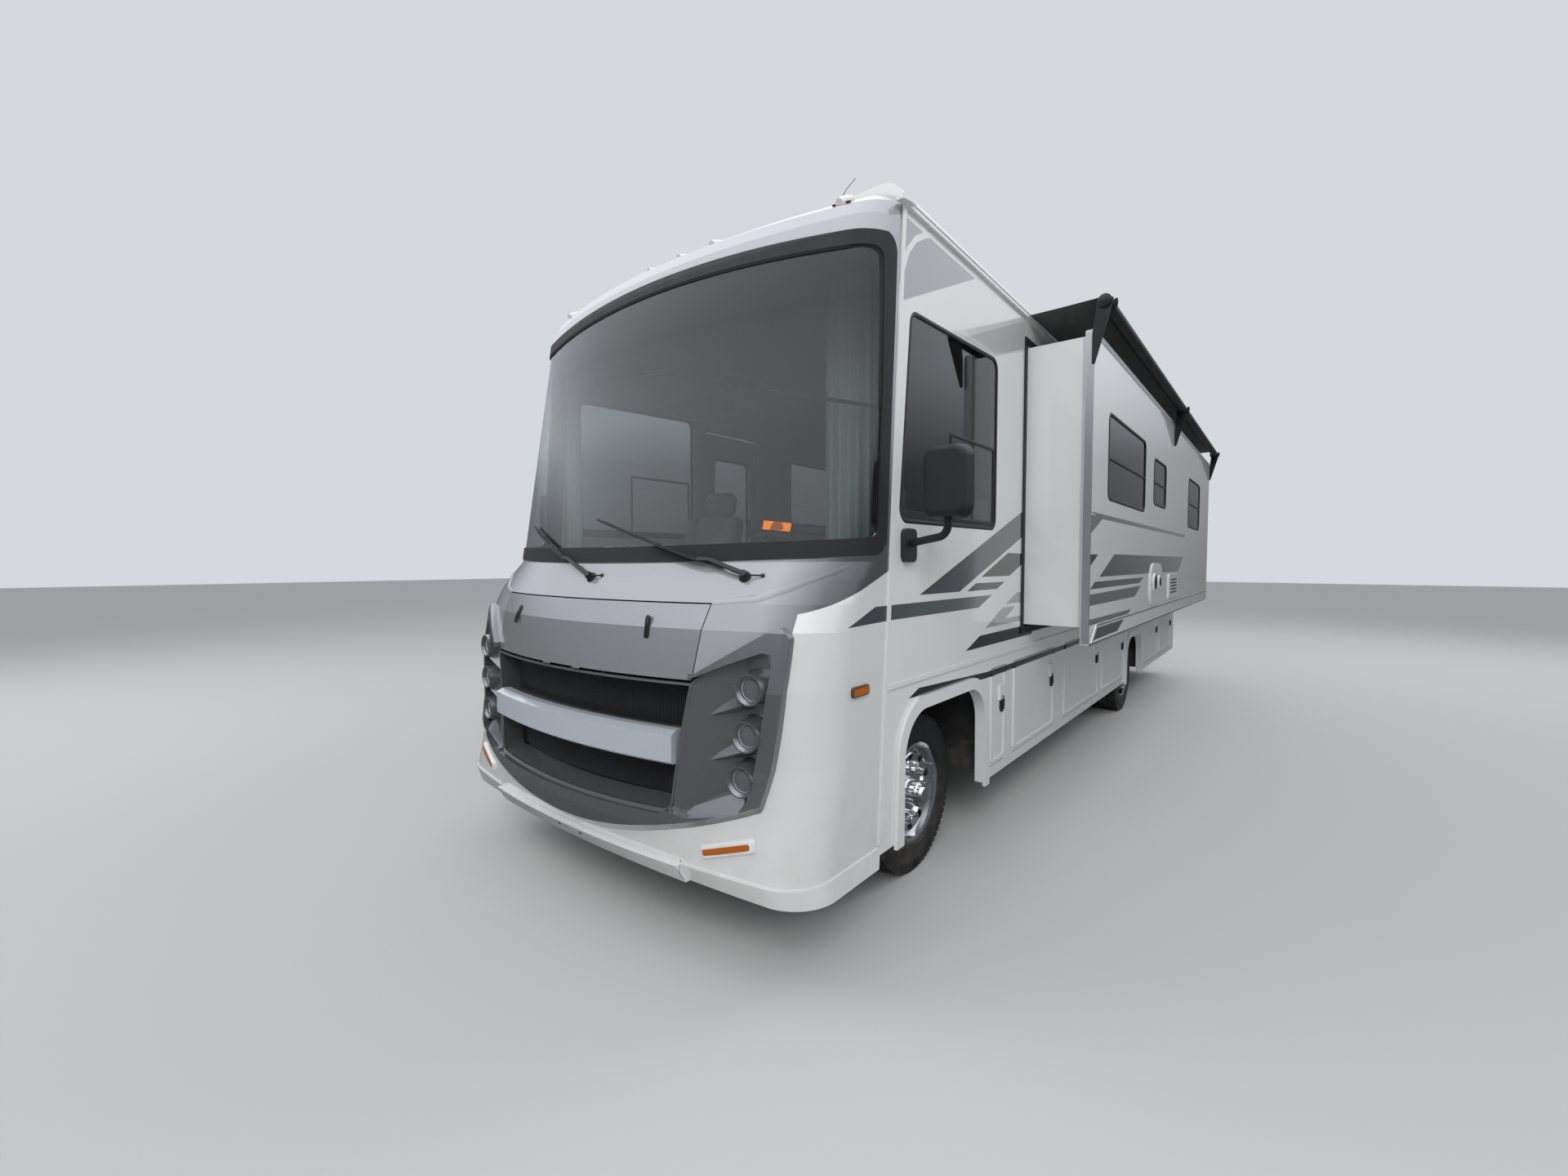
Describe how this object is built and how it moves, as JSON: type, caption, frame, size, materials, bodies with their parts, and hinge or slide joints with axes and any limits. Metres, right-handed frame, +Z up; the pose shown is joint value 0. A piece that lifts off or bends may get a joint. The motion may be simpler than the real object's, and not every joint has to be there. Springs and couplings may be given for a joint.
{
  "type": "motorhome",
  "caption": "Flat-fronted motorhome with a run-out side room under a cloth topper, steered front wheels, twin rear wheels, baggage doors, entry door and hinged hood.",
  "frame": {"origin": "middle of the whole's base rectangle, on the ground, mirrors, topper and ladder counted", "axes": "+Z up, -Y forwards, +X towards the vehicle's own left, which is the driver's side"},
  "size_m": [3.393, 9.4386, 3.6302],
  "materials": {
    "white_gelcoat": "gloss white gelcoat",
    "silver_gelcoat": "metallic silver gelcoat",
    "dark_gelcoat": "metallic charcoal gelcoat",
    "black_plastic": "matt moulded black",
    "trim_aluminium": "satin",
    "bright_chrome": "polished",
    "clear_glass": "clear, dark band at the top",
    "tinted_glass": "dark tint",
    "lamp_lens": "clear lens",
    "amber_lens": "moulded amber and red",
    "black_rubber": "matt",
    "tyre_rubber": "matt, road worn",
    "frame_steel": "black chassis paint",
    "cast_parts": "bare cast and forged",
    "topper_cloth": "woven vinyl",
    "curtain_cloth": "pleated",
    "seat_trim": "tan leather",
    "cabin_floor": "plywood with grey paint below"
  },
  "bodies": {
    "body": {"awning": "trim_aluminium", "baggage_bays": "frame_steel", "body_seals": "black_rubber", "cab_seats": "seat_trim", "chassis_frame": "frame_steel", "curtains": "curtain_cloth", "dashboard": "black_plastic", "engine_block": "cast_parts", "floor": "cabin_floor", "front_axle": "cast_parts", "front_bumper": "white_gelcoat", "front_cap": "white_gelcoat", "grille_bar": "bright_chrome", "grille_mesh": "black_plastic", "headlamps": "lamp_lens", "lamp_fascia": "dark_gelcoat", "leaf_springs": "cast_parts", "left_side": "white_gelcoat", "mirrors": "white_gelcoat", "mouldings": "trim_aluminium", "rear_axle": "cast_parts", "rear_cap": "white_gelcoat", "rear_ladder": "trim_aluminium", "right_side": "white_gelcoat", "roof": "white_gelcoat", "roof_units": "white_gelcoat", "side_windows": "tinted_glass", "small_lamps": "amber_lens", "topper_fabric": "topper_cloth", "wheel_wells": "black_plastic", "windshield": "clear_glass", "wipers": "black_plastic"},
    "knuckle_left": {"knuckle_left": "cast_parts"},
    "knuckle_right": {"knuckle_right": "cast_parts"},
    "wheel_front_left": {"tyre_front_left": "tyre_rubber", "wheel_front_left": "bright_chrome"},
    "wheel_front_right": {"tyre_front_right": "tyre_rubber", "wheel_front_right": "bright_chrome"},
    "wheels_rear_left": {"tyres_rear_left": "tyre_rubber", "wheels_rear_left": "bright_chrome"},
    "wheels_rear_right": {"tyres_rear_right": "tyre_rubber", "wheels_rear_right": "bright_chrome"},
    "slide_room": {"slide_room": "white_gelcoat", "slide_windows": "tinted_glass", "topper_roller": "black_plastic"},
    "hood": {"hood_panel": "silver_gelcoat"},
    "entry_door": {"entry_door": "white_gelcoat", "entry_door_window": "tinted_glass"},
    "baggage_door_left_1": {"baggage_door_left_1": "white_gelcoat"},
    "baggage_door_left_2": {"baggage_door_left_2": "white_gelcoat"},
    "baggage_door_left_3": {"baggage_door_left_3": "white_gelcoat"},
    "baggage_door_left_4": {"baggage_door_left_4": "white_gelcoat"},
    "baggage_door_left_5": {"baggage_door_left_5": "white_gelcoat"},
    "baggage_door_left_6": {"baggage_door_left_6": "white_gelcoat"},
    "baggage_door_right_1": {"baggage_door_right_1": "white_gelcoat"},
    "baggage_door_right_2": {"baggage_door_right_2": "white_gelcoat"}
  },
  "joints": [
    {"name": "steer_left", "type": "hinge", "parent": "body", "child": "knuckle_left", "pos_m": [0.7495, -3.2865, 0.419], "axis": [0, 0, 1], "range_deg": [-35, 35]},
    {"name": "front_wheel_spin_left", "type": "hinge", "parent": "knuckle_left", "child": "wheel_front_left", "pos_m": [0.8945, -3.2865, 0.419], "axis": [1, 0, 0], "continuous": true},
    {"name": "rear_wheels_spin_left", "type": "hinge", "parent": "body", "child": "wheels_rear_left", "pos_m": [0.8375, 1.5395, 0.419], "axis": [1, 0, 0], "continuous": true},
    {"name": "steer_right", "type": "hinge", "parent": "body", "child": "knuckle_right", "pos_m": [-0.9305, -3.2865, 0.419], "axis": [0, 0, 1], "range_deg": [-35, 35]},
    {"name": "front_wheel_spin_right", "type": "hinge", "parent": "knuckle_right", "child": "wheel_front_right", "pos_m": [-1.0755, -3.2865, 0.419], "axis": [1, 0, 0], "continuous": true},
    {"name": "rear_wheels_spin_right", "type": "hinge", "parent": "body", "child": "wheels_rear_right", "pos_m": [-1.0185, 1.5395, 0.419], "axis": [1, 0, 0], "continuous": true},
    {"name": "slide_room_travel", "type": "slide", "parent": "body", "child": "slide_room", "axis": [1, 0, 0], "range_m": [-0.335, 0], "deforming": ["topper_fabric"]},
    {"name": "hood_hinge", "type": "hinge", "parent": "body", "child": "hood", "pos_m": [-0.0905, -4.6945, 1.1685], "axis": [1, 0, 0], "range_deg": [0, 80]},
    {"name": "entry_door_hinge", "type": "hinge", "parent": "body", "child": "entry_door", "pos_m": [-1.375, -2.5612, 1.65], "axis": [0, 0, 1], "range_deg": [0, 90]},
    {"name": "baggage_door_left_1_hinge", "type": "hinge", "parent": "body", "child": "baggage_door_left_1", "pos_m": [1.194, -2.7222, 0.74], "axis": [0, 0, -1], "range_deg": [0, 90]},
    {"name": "baggage_door_left_2_hinge", "type": "hinge", "parent": "body", "child": "baggage_door_left_2", "pos_m": [1.194, -2.3372, 0.74], "axis": [0, 0, -1], "range_deg": [0, 90]},
    {"name": "baggage_door_left_3_hinge", "type": "hinge", "parent": "body", "child": "baggage_door_left_3", "pos_m": [1.194, -1.1982, 0.74], "axis": [0, 0, -1], "range_deg": [0, 90]},
    {"name": "baggage_door_left_4_hinge", "type": "hinge", "parent": "body", "child": "baggage_door_left_4", "pos_m": [1.194, 0.0488, 0.74], "axis": [0, 0, -1], "range_deg": [0, 90]},
    {"name": "baggage_door_left_5_hinge", "type": "hinge", "parent": "body", "child": "baggage_door_left_5", "pos_m": [1.194, 2.0888, 0.74], "axis": [0, 0, -1], "range_deg": [0, 90]},
    {"name": "baggage_door_left_6_hinge", "type": "hinge", "parent": "body", "child": "baggage_door_left_6", "pos_m": [1.194, 3.2688, 0.74], "axis": [0, 0, -1], "range_deg": [0, 90]},
    {"name": "baggage_door_right_1_hinge", "type": "hinge", "parent": "body", "child": "baggage_door_right_1", "pos_m": [-1.375, -1.7212, 0.74], "axis": [0, 0, 1], "range_deg": [0, 90]},
    {"name": "baggage_door_right_2_hinge", "type": "hinge", "parent": "body", "child": "baggage_door_right_2", "pos_m": [-1.375, 2.0888, 0.74], "axis": [0, 0, 1], "range_deg": [0, 90]}
  ],
  "couplings": [
    {"joint": "steer_right", "follows": "steer_left", "ratio": 1}
  ]
}
